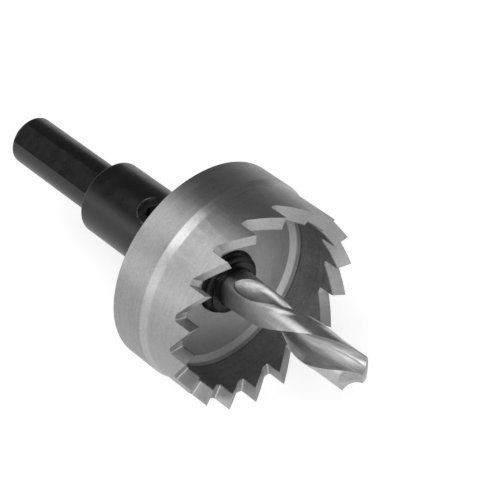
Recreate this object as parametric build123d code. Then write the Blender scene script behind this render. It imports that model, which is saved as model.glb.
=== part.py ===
from build123d import *
import os
from math import asin, cos, degrees, radians, sin, tan

# A hole saw in four pieces: a toothed cup, the arbor screwed through its floor, a pilot
# drill in the arbor's bore, and the set screw that holds the drill.
#
# Frame: the origin is the centre of the shank's end face. +X runs along the tool's axis to
# the drill's point. Angles turn about +X, from +Y towards +Z.
# Lengths are in millimetres and angles in degrees.

# Direction of the cut: -1 turns clockwise seen from the teeth, +1 the other way
cutting_hand = -1

# Arbor: shank, collar and threaded nose in one turned piece
shank_diameter = 8.0
shank_length = 19.5
shank_chamfer = 0.6
shank_flat_depth = 0.4
shank_flat_angle = 130.0
collar_shoulder = 1.0
collar_length = 21.0
collar_rear_chamfer = 0.9
collar_front_chamfer = 0.3
nose_diameter = 10.0
nose_projection = 1.9
nose_lead_length = 1.4
nose_lead_height = 0.7
bore_point_angle = 118.0

# Cup: a thick marked band behind, a short taper, and the thinner toothed rim
rim_diameter = 32.0
rim_wall = 2.35
band_step = 0.4
band_length = 6.0
taper_length = 1.4
cup_height = 15.4
floor_thickness = 6.0
corner_width = 1.15
corner_undercut = 0.28
corner_step = 0.7
rear_chamfer = 0.4

# Teeth
tooth_count = 18
tooth_phase = 0.0
gullet_depth = 3.2
gullet_floor = 1.0
gullet_fillet = 0.3

# Pilot drill
drill_diameter = 6.0
drill_reach = 18.3
drill_grip = 14.0
drill_end_chamfer = 0.4
drill_web = 1.0
drill_point_angle = 135.0
drill_relief_angle = 25.0
drill_lead = 38.0
drill_lip_phase = 134.0
flute_opening = 100.0
flute_straight = 0.75
flute_start_gap = 0.8
flute_runout = 5.0
margin_width = 0.6
margin_height = 0.14

# Set screw
screw_diameter = 5.0
screw_setback = 8.0
screw_angle = 106.0
screw_recess = 0.5
screw_point_diameter = 2.5
screw_point_height = 0.6
socket_across_flats = 2.5
socket_depth = 1.3

# Fits, each a gap on the radius or at a seat
thread_clearance = 0.03
drill_clearance = 0.03
seat_gap = 0.02

# Every cutting tool reaches past the metal by this much, and the tool that relieves the
# drill's lands reaches this far round into the flute
overcut = 1.0
relief_overlap = 25.0

# Places along the axis, which follow from the sizes above
collar_rear = shank_length
cup_rear = collar_rear + collar_length
floor_front = cup_rear + floor_thickness
nose_front = floor_front + nose_projection
tooth_tips = cup_rear + cup_height
drill_tip = tooth_tips + drill_reach
drill_end = cup_rear - drill_grip
flute_start = nose_front + flute_start_gap
flute_sweep_end = drill_tip + overcut
flute_sweep_length = flute_sweep_end - flute_start
screw_x = cup_rear - screw_setback

shank_radius = shank_diameter / 2
nose_radius = nose_diameter / 2
collar_radius = nose_radius + collar_shoulder
rim_radius = rim_diameter / 2
rim_inner_radius = rim_radius - rim_wall
band_radius = rim_radius + band_step
drill_radius = drill_diameter / 2
screw_radius = screw_diameter / 2

# In the drill's section the lip lies half a web ahead of the line through the axis
lip_angle = degrees(asin(drill_web / drill_diameter))
heel_angle = lip_angle + flute_opening

tooth_pitch = 360 / tooth_count


def turned(*points):
    """A solid turned about the X axis from (distance along X, radius) points."""
    return revolve(make_face(Polyline(*points, close=True)), Axis.X)


def about_axis(angle):
    return Rotation(angle, 0, 0)


def radial_plane(x, angle):
    """A plane on the axis whose normal points outwards at the angle."""
    outwards = (0, cos(radians(angle)), sin(radians(angle)))
    return Plane(origin=(x, 0, 0), x_dir=(1, 0, 0), z_dir=outwards)


def cup_blank():
    """The turned cup before its teeth are cut."""
    bore = nose_radius + thread_clearance
    return turned(
        (cup_rear, bore),
        (cup_rear, band_radius - rear_chamfer),
        (cup_rear + rear_chamfer, band_radius),
        (cup_rear + band_length, band_radius),
        (cup_rear + band_length + taper_length, rim_radius),
        (tooth_tips, rim_radius),
        (tooth_tips, rim_inner_radius),
        (floor_front + 2 * corner_step, rim_inner_radius),
        (floor_front + corner_step, rim_inner_radius - corner_undercut),
        (floor_front, rim_inner_radius - corner_width),
        (floor_front, bore),
    )


def gash():
    """The gullet between two teeth, as a cutter fed along the radius leaves it.

    The rake face holds the tool's axis. The relief rises in a plane from the gullet's floor
    to the outer tip of the next tooth.
    """
    next_tip = rim_radius * sin(radians(tooth_pitch))
    root_x = tooth_tips - gullet_depth
    rise = gullet_depth / (next_tip - gullet_floor)
    beyond = next_tip + overcut
    top_x = root_x + rise * (beyond - gullet_floor)
    profile = make_face(
        Polyline((0, root_x), (gullet_floor, root_x), (beyond, top_x), (0, top_x), close=True)
    )
    roots = profile.vertices().group_by(Axis.Y)[0]
    profile = fillet(roots, gullet_fillet)
    # The profile's first axis runs round the rim and its second along the tool
    across_rim = Plane(
        origin=(0, rim_inner_radius - overcut, 0),
        x_dir=(0, 0, cutting_hand),
        z_dir=(0, cutting_hand, 0),
    )
    return extrude(across_rim * profile, amount=rim_wall + 2 * overcut, dir=(0, 1, 0))


def cup():
    gullet = gash()
    gullets = [about_axis(tooth_phase + i * tooth_pitch) * gullet for i in range(tooth_count)]
    return cup_blank() - gullets


def screw_hole():
    return radial_plane(screw_x, screw_angle) * Cylinder(
        screw_radius + thread_clearance,
        collar_radius + overcut,
        align=(Align.CENTER, Align.CENTER, Align.MIN),
    )


def shank_flat():
    """The waste above the flat that runs along the shank as far as the collar."""
    seat = radial_plane(0, shank_flat_angle).offset(shank_radius - shank_flat_depth)
    waste = Box(
        2 * collar_rear, shank_diameter, shank_diameter,
        align=(Align.CENTER, Align.CENTER, Align.MIN),
    )
    return seat * waste


def arbor():
    bore = drill_radius + drill_clearance
    bore_end = drill_end - seat_gap
    bore_point = bore / tan(radians(bore_point_angle / 2))
    body = turned(
        (0, 0),
        (0, shank_radius - shank_chamfer),
        (shank_chamfer, shank_radius),
        (collar_rear, shank_radius),
        (collar_rear, collar_radius - collar_rear_chamfer),
        (collar_rear + collar_rear_chamfer, collar_radius),
        (cup_rear - collar_front_chamfer, collar_radius),
        (cup_rear, collar_radius - collar_front_chamfer),
        (cup_rear, nose_radius),
        (nose_front - nose_lead_length, nose_radius),
        (nose_front, nose_radius - nose_lead_height),
        (nose_front, bore),
        (bore_end, bore),
        (bore_end - bore_point, 0),
    )
    return body - shank_flat() - screw_hole()


def polar(radius, angle):
    """A point of the drill's section, with the angle counted in the cutting direction."""
    return Vector(radius * cos(radians(angle)), cutting_hand * radius * sin(radians(angle)))


def flute_section():
    """What the gashing wheel takes out of the blank: straight along the lip, then hollow."""
    half_web = drill_web / 2
    reach = drill_radius + overcut
    lip_start = polar(1, 0) * reach + polar(1, 90) * half_web
    inner = polar(1, 0) * flute_straight + polar(1, 90) * half_web
    heel = polar(drill_radius, heel_angle)
    heel_out = polar(reach, heel_angle)
    return make_face(
        [
            Line(lip_start, inner),
            TangentArc(inner, heel, tangent=inner - lip_start),
            Line(heel, heel_out),
            ThreePointArc(heel_out, polar(reach, heel_angle / 2), lip_start),
        ]
    )


def relief_section():
    """A ring sector over one land, from inside the flute to the edge of its margin."""
    margin = degrees(margin_width / drill_radius)
    start = heel_angle - relief_overlap
    end = 180 + lip_angle - margin
    middle = (start + end) / 2
    inner = drill_radius - overcut
    outer = drill_radius + overcut
    return make_face(
        [
            ThreePointArc(polar(inner, start), polar(inner, middle), polar(inner, end)),
            Line(polar(inner, end), polar(outer, end)),
            ThreePointArc(polar(outer, end), polar(outer, middle), polar(outer, start)),
            Line(polar(outer, start), polar(inner, start)),
        ]
    )


def twisted(section):
    """The section, drawn at the drill's point, swept along the helix to the flutes' start."""
    sweep = Solid.extrude_linear_with_rotation(
        (Plane.YZ * section).face(),
        center=(0, 0, 0),
        normal=(-flute_sweep_length, 0, 0),
        angle=cutting_hand * 360 * flute_sweep_length / drill_lead,
    )
    ahead = cutting_hand * 360 * overcut / drill_lead
    return Pos(flute_sweep_end, 0, 0) * about_axis(drill_lip_phase + ahead) * sweep


def point_waste():
    """The metal above one ground flank of the drill's point."""
    fall = tan(radians(90 - drill_point_angle / 2))
    relief = tan(radians(drill_relief_angle))
    slope = polar(1, 0) * fall - polar(1, 90) * relief
    flank = Plane(origin=(0, 0, 0), z_dir=(1, slope.X, slope.Y))
    width = 2 * (drill_diameter + overcut)
    waste = flank * Box(
        width, width, drill_diameter,
        align=(Align.CENTER, Align.CENTER, Align.MIN),
    )
    return Pos(drill_tip, 0, 0) * about_axis(drill_lip_phase) * waste


def pilot_drill():
    """A twist drill, cut from a round blank: two flutes, two relieved lands and the point."""
    blank = turned(
        (drill_end, 0),
        (drill_end, drill_radius - drill_end_chamfer),
        (drill_end + drill_end_chamfer, drill_radius),
        (drill_tip, drill_radius),
        (drill_tip, 0),
    )
    # The wheel leaves the blank on a slope, so the core swells to the full diameter
    swelling = turned(
        (flute_start - overcut, 0),
        (flute_start - overcut, drill_radius + overcut),
        (flute_start, drill_radius),
        (flute_start + flute_runout, drill_web / 2),
        (flute_start + flute_runout, 0),
    )
    flute = twisted(flute_section()) - swelling
    relief = twisted(relief_section()) - Pos(flute_start, 0, 0) * Cylinder(
        drill_radius - margin_height, flute_sweep_length + overcut,
        rotation=(0, 90, 0), align=(Align.CENTER, Align.CENTER, Align.MIN),
    )
    halves = (about_axis(0), about_axis(180))
    return blank - [half * waste for half in halves for waste in (flute, relief, point_waste())]


def set_screw():
    """A socket set screw in the collar, its point against the drill."""
    foot = drill_radius + seat_gap
    head = collar_radius - screw_recess
    half_section = make_face(
        Polyline(
            (0, foot),
            (screw_point_diameter / 2, foot),
            (screw_radius, foot + screw_point_height),
            (screw_radius, head),
            (0, head),
            close=True,
        )
    )
    body = revolve(Plane.XZ * half_section, Axis.Z)
    socket = Pos(0, 0, head) * extrude(
        RegularPolygon(socket_across_flats / 2, 6, major_radius=False), amount=-socket_depth
    )
    return radial_plane(screw_x, screw_angle) * (body - socket)


pieces = {
    "cup": cup,
    "arbor": arbor,
    "pilot_drill": pilot_drill,
    "set_screw": set_screw,
}

os.makedirs("parts", exist_ok=True)
for name, make in pieces.items():
    shape = make()
    solid = shape.solid()
    solid.label = name
    export_step(solid, f"parts/{name}.step")
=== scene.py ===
from math import acos, asin, atan2, ceil, cos, degrees, hypot, pi, radians, sin, tan

import bmesh
import bpy
from mathutils import Matrix, Vector


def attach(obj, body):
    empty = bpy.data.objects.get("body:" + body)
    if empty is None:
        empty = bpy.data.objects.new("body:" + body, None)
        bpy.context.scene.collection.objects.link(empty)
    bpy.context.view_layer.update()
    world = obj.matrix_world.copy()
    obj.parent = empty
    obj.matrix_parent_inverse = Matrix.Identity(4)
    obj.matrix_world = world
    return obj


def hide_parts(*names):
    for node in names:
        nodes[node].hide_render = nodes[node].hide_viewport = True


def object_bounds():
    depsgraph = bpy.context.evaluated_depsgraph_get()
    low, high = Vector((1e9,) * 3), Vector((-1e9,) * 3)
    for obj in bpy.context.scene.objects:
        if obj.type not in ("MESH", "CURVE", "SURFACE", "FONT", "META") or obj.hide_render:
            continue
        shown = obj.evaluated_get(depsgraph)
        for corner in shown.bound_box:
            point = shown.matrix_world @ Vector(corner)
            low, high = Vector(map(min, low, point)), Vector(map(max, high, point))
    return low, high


# A hole saw lying level on a pale floor. Lengths are millimetres until a mesh is made, and
# the frame's own axes hold: +X runs from the shank to the drill's point and +Z is up.
# Angles turn about +X, from +Y towards +Z.

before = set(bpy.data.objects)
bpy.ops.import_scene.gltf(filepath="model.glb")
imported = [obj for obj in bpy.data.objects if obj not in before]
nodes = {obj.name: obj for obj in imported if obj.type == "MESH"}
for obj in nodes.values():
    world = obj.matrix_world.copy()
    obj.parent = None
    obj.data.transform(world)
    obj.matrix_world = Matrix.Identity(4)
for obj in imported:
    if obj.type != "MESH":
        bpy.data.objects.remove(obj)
cad_low, cad_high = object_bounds()

MM = 0.001

# Camera: it looks down on the teeth from in front
CAMERA_TARGET = Vector((44.5, 6.1, 1.4)) * MM
CAMERA_AZIMUTH = 47.7
CAMERA_ELEVATION = 39.8
CAMERA_DISTANCE = 275.3 * MM
CAMERA_LENS = 136.6

# Floor, in metres, and the white that it gives off to the camera and to gloss
FLOOR_Z = cad_low.z
FLOOR_HALF = 3.0
FLOOR_SEEN = 0.72
FLOOR_IN_GLOSS = 0.38

# A material is named after the record's slot that it finishes, with this after it
FINISH = "_finish"

# Cup. The corner inside, between floor and wall, has two facets.
CUP_REAR = 40.5
FLOOR_FRONT = 46.5
CORNER_MIDDLE = 47.2
CORNER_FRONT = 47.9
TAPER_REAR = 46.5
TAPER_FRONT = 47.9
RIM_INNER_RADIUS = 13.65
RIM_RADIUS = 16.0
BAND_RADIUS = 16.4

# Arbor
SHANK_RADIUS = 4.0
SHANK_LENGTH = 19.5
SHANK_CHAMFER = 0.6
FLAT_HEIGHT = 3.6
FLAT_ANGLE = 130.0
COLLAR_RADIUS = 6.0
COLLAR_REAR_CHAMFER = 0.9
COLLAR_FRONT_CHAMFER = 0.3
NOSE_FRONT = 48.4
NOSE_RADIUS = 5.0
NOSE_FRONT_RADIUS = 4.3
NOSE_LEAD = 1.4
BORE_RADIUS = 3.03
BORE_CHAMFER = 0.1
BORE_END = 26.48
BORE_TIP = 24.66
THREAD_PITCH = 1.0
THREAD_DEPTH = 0.55
THREAD_START = 45.9
THREAD_RUN_IN = 0.4
THREAD_PHASE = 0.2

# Set screw's hole. Its foot and the start of its flare are radii from the tool's axis.
SCREW_X = 32.5
SCREW_ANGLE = 106.0
SCREW_HOLE_RADIUS = 2.53
SCREW_HOLE_FOOT = 2.0
SCREW_FLARE = 5.86
SCREW_FLARE_LENGTH = 2.0

# Pilot drill
DRILL_RADIUS = 3.0
DRILL_END = 26.5
DRILL_TIP = 74.2
DRILL_END_CHAMFER = 0.4
DRILL_WEB = 1.0
DRILL_LEAD = 38.0
DRILL_PHASE = 134.0
DRILL_HAND = -1
FLUTE_OPENING = 100.0
FLUTE_STRAIGHT = 0.75
FLUTE_START = 49.2
RUNOUT_END = 56.0
WHEEL_RADIUS = 7.75
MARGIN_WIDTH = 0.6
MARGIN_HEIGHT = 0.14
MARGIN_RISE = 0.22
RELIEF_RUN = 4.0
# Where the painted shade beside the nose ends
NOSE_SHADE_END = 54.4
POINT_LENGTH = 4.0
POINT_FALL = tan(radians(22.5))
POINT_RELIEF = tan(radians(25.0))

# How far sharp edges are broken
CUP_EDGE = 0.07
ARBOR_EDGE = 0.14
SCREW_EDGE = 0.08

# How finely the turned pieces are divided
ARBOR_SIDES = 160
HOLE_SIDES = 64
THREAD_STEP = 0.05
FLUTE_STEP = 0.2
ROD_STEP = 2


# ---------------------------------------------------------------- scene

def link(obj):
    bpy.context.scene.collection.objects.link(obj)
    return obj


def direction(azimuth, elevation):
    """The way from the object towards a viewer at these angles."""
    a, e = radians(azimuth), radians(elevation)
    return Vector((sin(a) * cos(e), -cos(a) * cos(e), sin(e)))


def make_camera():
    data = bpy.data.cameras.new("camera")
    data.lens = CAMERA_LENS
    data.clip_start = 0.01
    data.clip_end = 10
    camera = link(bpy.data.objects.new("camera", data))
    back = direction(CAMERA_AZIMUTH, CAMERA_ELEVATION)
    camera.location = CAMERA_TARGET + back * CAMERA_DISTANCE
    camera.rotation_mode = "QUATERNION"
    camera.rotation_quaternion = (-back).to_track_quat("-Z", "Y")
    bpy.context.scene.camera = camera


# ---------------------------------------------------------------- materials

class Nodes:
    """Short ways to add nodes to a tree."""

    def __init__(self, tree):
        self.tree = tree

    def put(self, socket, value):
        if isinstance(value, bpy.types.NodeSocket):
            self.tree.links.new(value, socket)
        else:
            socket.default_value = value

    def node(self, kind, inputs=None, **settings):
        made = self.tree.nodes.new("ShaderNode" + kind)
        for key, value in settings.items():
            setattr(made, key, value)
        for key, value in (inputs or {}).items():
            self.put(made.inputs[key], value)
        return made

    def math(self, operation, a, b=0.0):
        return self.node("Math", {0: a, 1: b}, operation=operation).outputs[0]

    def both(self, first, *others):
        """A mask that is 1 where all the masks are."""
        for other in others:
            first = self.math("MULTIPLY", first, other)
        return first

    def shade(self, tone, mask, change):
        """The tone, changed by that much where the mask is 1."""
        return self.math("ADD", tone, self.math("MULTIPLY", mask, change))

    def remap(self, value, low, high, to_low, to_high):
        inputs = {"Value": value, "From Min": low, "From Max": high,
                  "To Min": to_low, "To Max": to_high}
        return self.node("MapRange", inputs).outputs[0]

    def mid(self, texture, to_low, to_high):
        """The middle of a texture's range, where most of it lies, spread between two values."""
        return self.remap(texture, 0.3, 0.7, to_low, to_high)

    def join(self, x, y, z):
        return self.node("CombineXYZ", {0: x, 1: y, 2: z}).outputs[0]

    def noise(self, vector, scale=1.0, detail=2.0, roughness=0.5):
        inputs = {"Vector": vector, "Scale": scale, "Detail": detail, "Roughness": roughness}
        return self.node("TexNoise", inputs).outputs["Fac"]

    def grey(self, value):
        return self.node("CombineColor", {0: value, 1: value, 2: value}).outputs[0]


class Shader(Nodes):
    """A material round a Principled shader, with textures placed about the tool's axis."""

    def __init__(self, name, part=""):
        self.material = bpy.data.materials.new(name + FINISH + part)
        self.material.use_nodes = True
        super().__init__(self.material.node_tree)
        self.sockets = self.tree.nodes["Principled BSDF"].inputs

    def set(self, socket, value):
        self.put(self.sockets[socket], value)

    def place(self):
        """Position in millimetres, with the radius and the angle about the tool's axis."""
        where = self.node("TexCoord").outputs["Object"]
        scaled = self.node("VectorMath", {0: where, "Scale": 1 / MM}, operation="SCALE")
        apart = self.node("SeparateXYZ", {0: scaled.outputs[0]})
        x, y, z = apart.outputs
        squares = self.math("ADD", self.math("MULTIPLY", y, y), self.math("MULTIPLY", z, z))
        radius = self.math("SQRT", squares)
        angle = self.math("ARCTAN2", z, y)
        return scaled.outputs[0], x, radius, angle

    def about(self, along, angle, reach):
        """A texture's place about the axis: along it, and round it at that reach."""
        return self.join(
            along,
            self.math("MULTIPLY", self.math("COSINE", angle), reach),
            self.math("MULTIPLY", self.math("SINE", angle), reach),
        )

    def turning(self, x, radius, angle, fine, long):
        """Turning marks: fine across the cut, long round the axis, on faces and sides alike."""
        spread = self.math("ADD", x, self.math("MULTIPLY", radius, 1.7))
        return self.about(self.math("MULTIPLY", spread, fine), angle, long)

    def from_screw_axis(self, where):
        """Distance in millimetres from the set screw's axis."""
        apart = self.node("VectorMath", {0: where, 1: (SCREW_X, 0, 0)}, operation="SUBTRACT")
        axis = about_x((0, 1, 0), SCREW_ANGLE)
        across = self.node("VectorMath", {0: apart.outputs[0], 1: axis}, operation="CROSS_PRODUCT")
        return self.node("VectorMath", {0: across.outputs[0]}, operation="LENGTH").outputs["Value"]

    def stretch_gloss(self, strength, turn):
        """Gloss drawn out in one direction about the axis. The turn is a share of a circle."""
        self.set("Anisotropic", strength)
        self.set("Anisotropic Rotation", turn)
        self.set("Tangent", self.node("Tangent", direction_type="RADIAL", axis="X").outputs[0])

    def finish(self, grey, metallic, roughness, bump, depth, strength):
        """Close the material. The bump's depth is in millimetres."""
        self.set("Base Color", self.grey(grey))
        self.set("Metallic", metallic)
        self.set("Roughness", roughness)
        inputs = {"Height": bump, "Distance": depth * MM, "Strength": strength}
        self.set("Normal", self.node("Bump", inputs).outputs[0])
        return self.material


def cutter_steel():
    """Satin turned steel: marks round the axis, soft stains, a tone for each surface, painted shade
    on the inner wall and the corner's second facet, and painted highlights on the taper and the
    corner's first facet.
    """
    s = Shader("cutter_steel")
    where, x, radius, angle = s.place()
    marks = s.noise(s.turning(x, radius, angle, 9.0, 2.5), 1.0, 3.0, 0.6)
    bands = s.noise(s.turning(x, radius, angle, 1.6, 0.8), 1.0, 2.0)
    stains = s.noise(where, 0.22, 4.0, 0.6)
    speckle = s.noise(where, 3.5, 2.0, 0.6)
    clouds = s.noise(where, 1.3, 3.0, 0.7)

    inside = s.math("LESS_THAN", radius, RIM_INNER_RADIUS + 0.15)
    outside = s.math("SUBTRACT", 1, inside)
    # The inner wall, where shade is painted
    wall = s.both(inside, s.math("GREATER_THAN", x, CORNER_FRONT - 0.2))
    # The corner's first facet, where a highlight is painted
    lit_facet = s.both(
        inside,
        s.math("GREATER_THAN", x, FLOOR_FRONT + 0.02),
        s.remap(x, CORNER_MIDDLE - 0.1, CORNER_MIDDLE + 0.05, 1, 0),
    )
    # The corner's second facet, where shade is painted
    shaded_facet = s.both(
        inside,
        s.math("GREATER_THAN", x, CORNER_MIDDLE - 0.05),
        s.remap(x, CORNER_FRONT - 0.1, CORNER_FRONT + 0.1, 1, 0),
    )
    # The taper, where a highlight is painted and the gloss is a little finer
    taper = s.both(
        s.remap(x, TAPER_REAR - 0.05, TAPER_REAR + 0.15, 0, 1),
        s.remap(x, TAPER_FRONT - 0.15, TAPER_FRONT + 0.1, 1, 0),
        outside,
    )
    band = s.both(
        s.math("LESS_THAN", x, TAPER_REAR),
        s.math("GREATER_THAN", radius, (RIM_RADIUS + BAND_RADIUS) / 2),
    )

    tone = s.mid(marks, -0.035, 0.035)
    for texture, swing in ((bands, 0.02), (stains, 0.03), (speckle, 0.04)):
        tone = s.math("ADD", tone, s.mid(texture, -swing, swing))
    tone = s.math("ADD", tone, s.remap(clouds, 0.25, 0.75, -0.03, 0.03))
    tone = s.math("ADD", tone, s.remap(inside, 0, 1, 0.50, 0.54))
    # The wall is darkened as painted shade, and the taper and the corner's first facet are
    # brightened as painted highlights. The second facet is darkened as painted shade.
    tone = s.shade(tone, wall, -0.28)
    tone = s.shade(tone, taper, 0.10)
    tone = s.shade(tone, lit_facet, 0.13)
    tone = s.shade(tone, shaded_facet, -0.10)
    tone = s.shade(tone, band, -0.04)

    rough = s.math("ADD", s.mid(stains, 0.43, 0.53), s.mid(marks, -0.04, 0.04))
    rough = s.shade(rough, taper, -0.04)
    s.stretch_gloss(0.75, 0.25)
    relief = s.math("ADD", marks, s.math("MULTIPLY", speckle, 1.5))
    return s.finish(tone, 1.0, rough, relief, 0.03, 0.25)


def black_oxide(name, part="", gloss=0.5):
    """Black oxide over turned steel: near black, satin, with a faint mottle and a painted highlight
    ring at the set screw's hole.
    """
    s = Shader(name, part)
    where, x, radius, angle = s.place()
    marks = s.noise(s.turning(x, radius, angle, 7.0, 3.0), 1.0, 3.0, 0.6)
    mottle = s.noise(where, 0.6, 5.0, 0.65)
    tone = s.remap(mottle, 0.3, 0.75, 0.001, 0.006)
    # A thin ring at the edge of the set screw's hole, and of the screw, is painted lighter as a
    # highlight
    from_edge = s.math("SUBTRACT", s.from_screw_axis(where), SCREW_HOLE_RADIUS + 0.02)
    edge_highlight = s.both(
        s.remap(s.math("ABSOLUTE", from_edge), 0.06, 0.2, 1, 0),
        s.remap(mottle, 0.4, 0.55, 0.3, 1),
        s.math("GREATER_THAN", radius, COLLAR_RADIUS - 0.75),
    )
    tone = s.shade(tone, edge_highlight, 0.07)
    s.set("IOR", 1.6)
    s.set("Specular IOR Level", gloss)
    return s.finish(tone, 0.0, s.mid(mottle, 0.24, 0.34), marks, 0.03, 0.2)


def drill_steel(part, tones, roughness, grain, turn):
    """Bright ground steel, whose streaks are wound with the flutes.

    The grain is how closely the streaks vary along the drill and across it.
    """
    s = Shader("drill_steel", part)
    where, x, radius, angle = s.place()
    wound = s.math("MULTIPLY", x, DRILL_HAND * 2 * pi / DRILL_LEAD)
    along, across = grain
    streaks = s.about(
        s.math("MULTIPLY", x, along),
        s.math("SUBTRACT", angle, wound),
        s.math("MULTIPLY", radius, across),
    )
    fine = s.noise(streaks, 1.0, 4.0, 0.65)
    stains = s.noise(where, 0.5, 4.0, 0.6)
    tone = s.math("ADD", s.mid(fine, *tones), s.mid(stains, -0.04, 0.04))
    # The drill is painted darker beside the nose as shade, and bright from the shade's end on
    tone = s.math("MULTIPLY", tone, s.remap(x, NOSE_FRONT, NOSE_SHADE_END, 0.25, 1))
    smoothest, roughest = roughness
    s.stretch_gloss(0.9, turn)
    return s.finish(tone, 1.0, s.mid(fine, roughest, smoothest), fine, 0.04, 0.3)


# ---------------------------------------------------------------- floor, world and lamps

def make_floor():
    """A matt pale floor. The camera and gloss see it paler still, with the soft shadow."""
    mesh = bpy.data.meshes.new("floor")
    corners = [(-FLOOR_HALF, -FLOOR_HALF), (FLOOR_HALF, -FLOOR_HALF),
               (FLOOR_HALF, FLOOR_HALF), (-FLOOR_HALF, FLOOR_HALF)]
    mesh.from_pydata([(x, y, FLOOR_Z) for x, y in corners], [], [(0, 1, 2, 3)])
    floor = link(bpy.data.objects.new("floor", mesh))
    s = Shader("floor")
    s.set("Base Color", (0.5, 0.5, 0.5, 1))
    s.set("Roughness", 1.0)
    s.set("Specular IOR Level", 0.0)
    path = s.node("LightPath").outputs
    seen = s.math("MULTIPLY", path["Is Camera Ray"], FLOOR_SEEN)
    shiny = s.math("MAXIMUM", path["Is Glossy Ray"], path["Is Transmission Ray"])
    s.set("Emission Color", (1, 1, 1, 1))
    s.set("Emission Strength", s.shade(seen, shiny, FLOOR_IN_GLOSS))
    mesh.materials.append(s.material)


def make_world():
    """White at the horizon and dim overhead. The white reaches higher in front than behind.

    The camera sees it white all over.
    """
    world = bpy.data.worlds.new("world")
    bpy.context.scene.world = world
    world.use_nodes = True
    n = Nodes(world.node_tree)
    apart = n.node("SeparateXYZ", {0: n.node("TexCoord").outputs["Generated"]}).outputs
    edge = n.remap(apart["Y"], -1, 1, 0.9, 0.12)
    ramp = n.node("ValToRGB", {0: n.math("DIVIDE", apart["Z"], edge)})
    stops = [(0.22, 0.95), (0.42, 0.5), (0.75, 0.1), (1.0, 0.07)]
    elements = ramp.color_ramp.elements
    elements.remove(elements[1])
    elements[0].color = (1, 1, 1, 1)
    for at, grey in stops:
        elements.new(at).color = (grey, grey, grey, 1)
    # Gloss sees at least a tenth of the white overhead
    path = n.node("LightPath").outputs
    shown = ramp.outputs[0]
    for ray, share in (("Is Camera Ray", 1.0), ("Is Glossy Ray", 0.1), ("Is Transmission Ray", 0.1)):
        shown = n.math("MAXIMUM", shown, n.math("MULTIPLY", path[ray], share))
    n.put(n.tree.nodes["Background"].inputs["Color"], shown)


def make_sun(name, way, energy, angle):
    """A soft distant lamp that shines from that way."""
    data = bpy.data.lights.new(name, "SUN")
    data.energy = energy
    data.angle = radians(angle)
    lamp = link(bpy.data.objects.new(name, data))
    lamp.rotation_mode = "QUATERNION"
    lamp.rotation_quaternion = (-Vector(way)).to_track_quat("-Z", "Y")


# ---------------------------------------------------------------- meshes

def about_x(point, angle):
    return Matrix.Rotation(radians(angle), 3, "X") @ Vector(point)


def piece_from(name, mesh, node, material):
    """A finished mesh, in metres, that stands for its CAD node."""
    piece = link(bpy.data.objects.new(name, mesh))
    mesh.materials.append(material)
    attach(piece, "root")
    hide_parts(node)
    material.name.split(FINISH)[0]
    return piece


def smooth_mesh(bm, name, angle=35):
    """The mesh, in smooth shading with edges sharper than the angle kept."""
    bmesh.ops.recalc_face_normals(bm, faces=bm.faces)
    for face in bm.faces:
        face.smooth = True
    mesh = bpy.data.meshes.new(name)
    bm.to_mesh(mesh)
    bm.free()
    mesh.set_sharp_from_angle(angle=radians(angle))
    return mesh


def eased(node, name, material, width):
    """A copy of a CAD node with its sharp edges broken, as a real edge is."""
    bm = bmesh.new()
    bm.from_mesh(nodes[node].data)
    bmesh.ops.remove_doubles(bm, verts=bm.verts, dist=0.002 * MM)
    bmesh.ops.dissolve_limit(bm, angle_limit=radians(0.3), verts=bm.verts, edges=bm.edges)
    mesh = bpy.data.meshes.new(name)
    for face in bm.faces:
        face.smooth = True
    bm.to_mesh(mesh)
    bm.free()
    mesh.set_sharp_from_angle(angle=radians(11))
    piece = piece_from(name, mesh, node, material)
    bevel = piece.modifiers.new("edges", "BEVEL")
    bevel.width = width * MM
    bevel.segments = 2
    bevel.limit_method = "ANGLE"
    bevel.angle_limit = radians(30)
    weighted = piece.modifiers.new("normals", "WEIGHTED_NORMAL")
    weighted.keep_sharp = True


def revolve(bm, rows, angles, radius_at=None):
    """Rings of vertices about the X axis. A row with no radius is one vertex on the axis."""
    rings = []
    for index, (x, r) in enumerate(rows):
        if r == 0:
            rings.append([bm.verts.new(Vector((x, 0, 0)) * MM)])
            continue
        ring = []
        for angle in angles:
            reach = radius_at(index, x, r, angle) if radius_at else r
            ring.append(bm.verts.new(about_x((x, reach, 0), angle) * MM))
        rings.append(ring)
    for a, b in zip(rings, rings[1:]):
        for i in range(len(angles)):
            j = (i + 1) % len(angles)
            if len(a) == 1:
                bm.faces.new((a[0], b[j], b[i]))
            elif len(b) == 1:
                bm.faces.new((a[i], a[j], b[0]))
            else:
                bm.faces.new((a[i], a[j], b[j], b[i]))


def eased_line(points, width):
    """The outline with each corner that is marked broken by a small round."""
    line = []
    for i, (x, r, ease) in enumerate(points):
        here = Vector((x, r))
        if not ease:
            line.append((x, r))
            continue
        before = Vector(points[i - 1][:2]) - here
        after = Vector(points[i + 1][:2]) - here
        step = min(width, before.length / 3, after.length / 3)
        start = here + before.normalized() * step
        end = here + after.normalized() * step
        for t in (0, 1 / 3, 2 / 3, 1):
            point = start * (1 - t) ** 2 + here * 2 * t * (1 - t) + end * t * t
            line.append((point.x, point.y))
    return line


def thread_radius(x, angle):
    """Radius of the nose's thread, under its lead-in cone."""
    turn = (x / THREAD_PITCH + angle / 360 + THREAD_PHASE) % 1
    ridge = (0.5 + 0.5 * cos(2 * pi * turn)) ** 0.8
    depth = THREAD_DEPTH * min(1, max(0, (x - THREAD_START) / THREAD_RUN_IN))
    lead = NOSE_FRONT_RADIUS + (NOSE_RADIUS - NOSE_FRONT_RADIUS) * (NOSE_FRONT - x) / NOSE_LEAD
    outer = min(NOSE_RADIUS, lead)
    return outer - depth * (1 - ridge)


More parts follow.
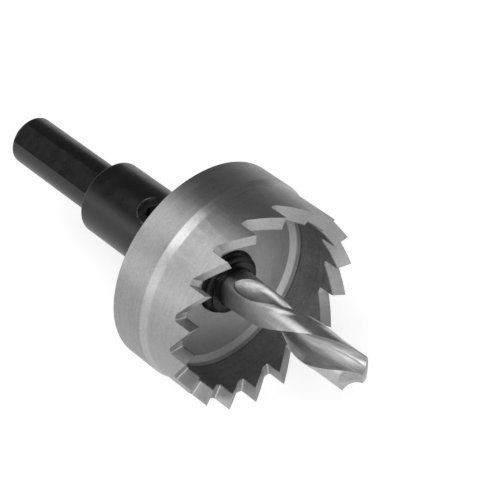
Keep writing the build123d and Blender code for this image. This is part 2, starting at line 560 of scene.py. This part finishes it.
def arbor_mesh():
    """The arbor as turned: shank with its flat, collar, threaded nose and blind bore."""
    half_flat = degrees(acos(FLAT_HEIGHT / SHANK_RADIUS))
    angles = sorted({round(i * 360 / ARBOR_SIDES, 3) for i in range(ARBOR_SIDES)}
                    | {FLAT_ANGLE - half_flat, FLAT_ANGLE + half_flat})
    outline = [
        (0, 0, False),
        (0, SHANK_RADIUS - SHANK_CHAMFER, True),
        (SHANK_CHAMFER, SHANK_RADIUS, True),
        (SHANK_LENGTH, SHANK_RADIUS, False),
        (SHANK_LENGTH, COLLAR_RADIUS - COLLAR_REAR_CHAMFER, True),
        (SHANK_LENGTH + COLLAR_REAR_CHAMFER, COLLAR_RADIUS, True),
        (CUP_REAR - COLLAR_FRONT_CHAMFER, COLLAR_RADIUS, True),
        (CUP_REAR, COLLAR_RADIUS - COLLAR_FRONT_CHAMFER, True),
        (CUP_REAR, NOSE_RADIUS, False),
    ]
    rows = eased_line(outline, ARBOR_EDGE)
    shank_rows = sum(1 for x, r in rows if x <= SHANK_LENGTH and r <= SHANK_RADIUS + 0.01)
    first_thread = len(rows)
    thread_length = NOSE_FRONT - THREAD_START
    count = ceil(thread_length / THREAD_STEP)
    rows += [(THREAD_START + thread_length * i / count, NOSE_RADIUS) for i in range(count + 1)]
    last_thread = len(rows)
    rows += [
        (NOSE_FRONT, BORE_RADIUS + BORE_CHAMFER),
        (NOSE_FRONT - BORE_CHAMFER, BORE_RADIUS),
        (BORE_END, BORE_RADIUS),
        (BORE_TIP, 0),
    ]

    def radius_at(index, x, r, angle):
        if index < shank_rows:
            # The flat lies on one side only, so the far side keeps its radius
            lean = cos(radians(angle - FLAT_ANGLE))
            return min(r, FLAT_HEIGHT / lean) if lean > 0.5 else r
        if first_thread <= index < last_thread:
            return thread_radius(x, angle)
        return r

    bm = bmesh.new()
    revolve(bm, rows, angles, radius_at)
    for face in bm.faces:
        face.material_index = int(face.calc_center_median().x > THREAD_START * MM)
    return smooth_mesh(bm, "arbor_body")


def hole_cutter():
    """A plug for the set screw's hole, with a cone at its mouth."""
    bm = bmesh.new()
    mouth = SCREW_FLARE + SCREW_FLARE_LENGTH
    profile = [
        (SCREW_HOLE_FOOT, 0),
        (SCREW_HOLE_FOOT, SCREW_HOLE_RADIUS),
        (SCREW_FLARE, SCREW_HOLE_RADIUS),
        (mouth, SCREW_HOLE_RADIUS + SCREW_FLARE_LENGTH),
        (mouth, 0),
    ]
    revolve(bm, profile, [i * 360 / HOLE_SIDES for i in range(HOLE_SIDES)])
    outwards = about_x((0, 1, 0), SCREW_ANGLE)
    place = Matrix.Translation(Vector((SCREW_X, 0, 0)) * MM)
    place = place @ outwards.to_track_quat("X", "Z").to_matrix().to_4x4()
    bmesh.ops.transform(bm, matrix=place, verts=bm.verts)
    bmesh.ops.recalc_face_normals(bm, faces=bm.faces)
    mesh = bpy.data.meshes.new("hole_cutter")
    bm.to_mesh(mesh)
    bm.free()
    return link(bpy.data.objects.new("hole_cutter", mesh))


def cut_hole(piece):
    """Cut the set screw's hole, and keep the result as the piece's own mesh."""
    cutter = hole_cutter()
    cut = piece.modifiers.new("hole", "BOOLEAN")
    cut.object = cutter
    cut.operation = "DIFFERENCE"
    cut.solver = "EXACT"
    bpy.context.view_layer.update()
    graph = bpy.context.evaluated_depsgraph_get()
    holed = bpy.data.meshes.new_from_object(piece.evaluated_get(graph))
    piece.modifiers.clear()
    piece.data = holed
    bpy.data.objects.remove(cutter)
    holed.set_sharp_from_angle(angle=radians(35))


def drill_half():
    """Half of the drill's section as (radius, angle in the cutting direction) pairs.

    The flute runs straight along the lip, then hollow on an arc. The land is relieved as far
    as its margin.
    """
    lip_points, hollow_points, land_points, margin_points = 8, 28, 12, 4
    half_web = DRILL_WEB / 2
    lip = asin(half_web / DRILL_RADIUS)
    heel_angle = lip + radians(FLUTE_OPENING)
    body = DRILL_RADIUS - MARGIN_HEIGHT
    heel_y, heel_z = DRILL_RADIUS * cos(heel_angle), DRILL_RADIUS * sin(heel_angle)
    run, rise = FLUTE_STRAIGHT - heel_y, heel_z - half_web
    hollow = (run * run + rise * rise) / (2 * rise)
    points = []
    for i in range(lip_points):
        t = i / (lip_points - 1)
        points.append((DRILL_RADIUS * cos(lip) * (1 - t) + FLUTE_STRAIGHT * t, half_web))
    start = 3 * pi / 2
    end = atan2(heel_z - half_web - hollow, heel_y - FLUTE_STRAIGHT) % (2 * pi)
    for i in range(1, hollow_points + 1):
        a = start - (start - end) * i / hollow_points
        point = (FLUTE_STRAIGHT + hollow * cos(a), half_web + hollow + hollow * sin(a))
        if hypot(*point) > body:
            break
        points.append(point)
    flute = [(hypot(y, z), atan2(z, y)) for y, z in points]

    margin = pi + lip - MARGIN_WIDTH / DRILL_RADIUS
    land = [(body, heel_angle + 0.01)]
    for i in range(1, land_points + 1):
        land.append((body, heel_angle + (margin - MARGIN_RISE - heel_angle) * i / land_points))
    land.append((body + 0.4 * MARGIN_HEIGHT, margin - 0.6 * MARGIN_RISE))
    land.append((body + 0.85 * MARGIN_HEIGHT, margin - 0.25 * MARGIN_RISE))
    for i in range(margin_points):
        land.append((DRILL_RADIUS, margin + (pi + lip - margin) * i / margin_points))
    return flute, land


def lifted(r, a, lift, body):
    """A point of the flute where the wheel has risen by the lift, kept inside the blank."""
    middle = asin(DRILL_WEB / 2 / DRILL_RADIUS) + radians(FLUTE_OPENING / 2)
    y = r * cos(a) + lift * cos(middle)
    z = r * sin(a) + lift * sin(middle)
    angle = atan2(z, y)
    return min(hypot(y, z), DRILL_RADIUS if angle < middle else body), angle


def drill_rings(bm):
    """Rings of vertices from the drill's plain end to just past its tip."""
    flute, land = drill_half()

    def ring(x, plain=0):
        """One section of the drill, or a plain circle of that radius."""
        made = []
        twist = DRILL_PHASE - DRILL_HAND * 360 * (DRILL_TIP - x) / DRILL_LEAD
        lift = max(0, RUNOUT_END - x) ** 2 / (2 * WHEEL_RADIUS)
        body = DRILL_RADIUS - MARGIN_HEIGHT * min(1, max(0, x - FLUTE_START) / RELIEF_RUN)
        section = [lifted(r, a, lift, body) for r, a in flute]
        section += [(max(r, body), a) for r, a in land]
        for half in (0, pi):
            for r, a in section:
                spin = radians(twist) + DRILL_HAND * (a + half)
                r = plain or r
                made.append(bm.verts.new(Vector((x, r * cos(spin), r * sin(spin))) * MM))
        return made

    rings = [ring(DRILL_END, DRILL_RADIUS - DRILL_END_CHAMFER),
             ring(DRILL_END + DRILL_END_CHAMFER, DRILL_RADIUS)]
    x = DRILL_END + ROD_STEP
    while x < FLUTE_START:
        rings.append(ring(x, DRILL_RADIUS))
        x += ROD_STEP
    rings.append(ring(FLUTE_START, DRILL_RADIUS))
    x = FLUTE_START + 0.06
    while x < DRILL_TIP + 0.6:
        rings.append(ring(x))
        x += FLUTE_STEP
    return rings


def grind_point(bm):
    """Cut the drill's two flanks and close each with faces."""
    for turn in (0, 180):
        normal = about_x((1, POINT_FALL, -DRILL_HAND * POINT_RELIEF), DRILL_PHASE + turn)
        cut = bmesh.ops.bisect_plane(
            bm, geom=bm.verts[:] + bm.edges[:] + bm.faces[:],
            plane_co=Vector((DRILL_TIP, 0, 0)) * MM, plane_no=normal, clear_outer=True,
        )
        rim = [e for e in cut["geom_cut"] if isinstance(e, bmesh.types.BMEdge)]
        filled = bmesh.ops.holes_fill(bm, edges=rim)
        bmesh.ops.triangulate(bm, faces=filled["faces"])


def drill_mesh():
    """The drill, with material 0 in its flutes, 1 on its lands and 2 on its point."""
    bm = bmesh.new()
    rings = drill_rings(bm)
    count = len(rings[0])
    for a, b in zip(rings, rings[1:]):
        for i in range(count):
            j = (i + 1) % count
            bm.faces.new((a[i], a[j], b[j], b[i]))
    bm.faces.new(rings[0])
    bm.faces.new(list(reversed(rings[-1])))
    grind_point(bm)
    land_radius = DRILL_RADIUS - MARGIN_HEIGHT - 0.02
    for face in bm.faces:
        middle = face.calc_center_median() / MM
        on_land = min(hypot(v.co.y, v.co.z) / MM for v in face.verts) > land_radius
        at_point = abs(face.normal.x) > 0.7 and middle.x > DRILL_TIP - POINT_LENGTH
        face.material_index = 2 if at_point else int(on_land)
    return smooth_mesh(bm, "drill_body", 40)


# ---------------------------------------------------------------- the tool

def make_arbor():
    arbor = piece_from("arbor_body", arbor_mesh(), "arbor", black_oxide("black_steel"))
    arbor.data.materials.append(black_oxide("black_steel", "_thread", 0.25))
    cut_hole(arbor)


def make_drill():
    flute = drill_steel("_flute", (0.42, 0.70), (0.38, 0.52), grain=(0.25, 2.6), turn=0.05)
    land = drill_steel("_land", (0.58, 0.76), (0.34, 0.40), grain=(5.0, 0.5), turn=0.25)
    point = drill_steel("_point", (0.45, 0.60), (0.30, 0.40), grain=(1.0, 4.0), turn=0.0)
    drill = piece_from("drill_body", drill_mesh(), "pilot_drill", flute)
    drill.data.materials.append(land)
    drill.data.materials.append(point)


make_camera()
make_floor()
make_world()
make_sun("key", (0.65, -0.5, 0.6), 1.6, 40)
make_sun("arc", (-0.15, -0.36, 0.92), 0.85, 45)
make_sun("fill", (-0.3, -0.9, 0.3), 0.22, 50)

eased("cup", "toothed_cup", cutter_steel(), CUP_EDGE)
make_arbor()
make_drill()
eased("set_screw", "socket_screw", black_oxide("screw_steel"), SCREW_EDGE)

bpy.context.scene.view_settings.view_transform = "Standard"
